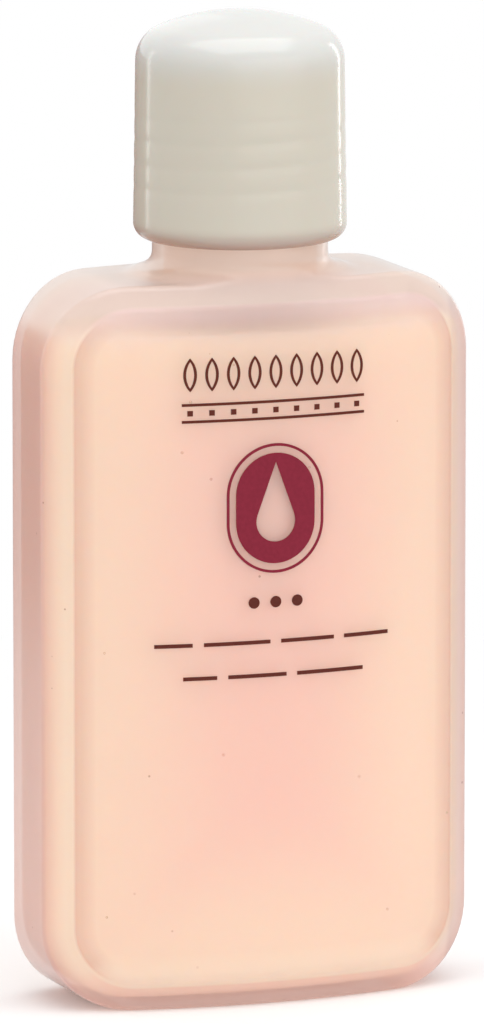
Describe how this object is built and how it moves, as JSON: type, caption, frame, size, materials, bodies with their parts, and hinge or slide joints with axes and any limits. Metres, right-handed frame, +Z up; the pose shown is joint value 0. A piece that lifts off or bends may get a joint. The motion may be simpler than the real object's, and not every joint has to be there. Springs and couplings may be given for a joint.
{
  "type": "nail polish remover bottle",
  "caption": "Flat bowed bottle of nail polish remover with a framed front panel, a short threaded neck with an orifice plug, and a tall domed cap that unscrews.",
  "frame": {"origin": "middle of the base, on the plane that the bottle stands on", "axes": "+Z up along the neck's axis, -Y out of the printed front panel, +X to that panel's right as seen from the front"},
  "size_m": [0.0592, 0.0278, 0.1292],
  "materials": {
    "natural_polyethylene": "satin, translucent",
    "remover_liquid": "clear liquid",
    "plug_polyethylene": "satin",
    "liner_foam": "matte",
    "cap_polypropylene": "gloss",
    "crimson_ink": "satin"
  },
  "bodies": {
    "bottle": {"bottle": "natural_polyethylene", "remover": "remover_liquid", "orifice_plug": "plug_polyethylene", "front_print": "crimson_ink"},
    "liner": {"cap_liner": "liner_foam"},
    "cap": {"cap": "cap_polypropylene"}
  },
  "joints": [
    {"name": "cap_rise", "type": "slide", "parent": "bottle", "child": "liner", "axis": [0, 0, 1], "range_m": [0, 0.0199]},
    {"name": "cap_turn", "type": "hinge", "parent": "liner", "child": "cap", "pos_m": [0, 0, 0.1095], "axis": [0, 0, 1], "range_deg": [0, 2250]}
  ],
  "couplings": [
    {"joint": "cap_rise", "follows": "cap_turn", "m_per_rad": 0.00050532}
  ]
}
